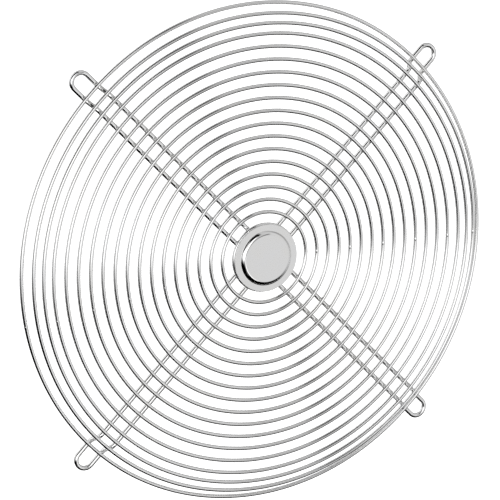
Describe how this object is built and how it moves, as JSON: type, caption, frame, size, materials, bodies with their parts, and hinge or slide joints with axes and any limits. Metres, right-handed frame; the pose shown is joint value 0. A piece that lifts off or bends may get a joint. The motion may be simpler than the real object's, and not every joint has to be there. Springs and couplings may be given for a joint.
{
  "type": "wire fan guard",
  "caption": "Round welded wire guard for an axial fan: concentric plated rings on hairpin ribs that end in mounting eyes, with a pressed hub disc.",
  "frame": {"origin": "centre of the guard, in the plane of the undersides of its four eyes, which lie on the panel", "axes": "+Z out of the front face, towards the hub disc's boss; +X and +Y along two of the four hairpin ribs"},
  "size_m": [0.28, 0.28, 0.0118],
  "materials": {
    "plated_ring_wire": "bright nickel-chrome plate on drawn steel wire",
    "plated_rib_wire": "bright nickel-chrome plate on drawn steel wire",
    "plated_disc": "bright nickel-chrome plate on pressed steel sheet"
  },
  "bodies": {
    "root": {"hub_disc": "plated_disc", "hub_ring": "plated_ring_wire", "face_ring_01": "plated_ring_wire", "face_ring_02": "plated_ring_wire", "face_ring_03": "plated_ring_wire", "face_ring_04": "plated_ring_wire", "face_ring_05": "plated_ring_wire", "face_ring_06": "plated_ring_wire", "face_ring_07": "plated_ring_wire", "face_ring_08": "plated_ring_wire", "face_ring_09": "plated_ring_wire", "face_ring_10": "plated_ring_wire", "face_ring_11": "plated_ring_wire", "face_ring_12": "plated_ring_wire", "face_ring_13": "plated_ring_wire", "face_ring_14": "plated_ring_wire", "face_ring_15": "plated_ring_wire", "rim_ring_1": "plated_ring_wire", "rim_ring_2": "plated_ring_wire", "rim_ring_3": "plated_ring_wire", "rib_1": "plated_rib_wire", "rib_2": "plated_rib_wire", "rib_3": "plated_rib_wire", "rib_4": "plated_rib_wire"}
  },
  "joints": []
}
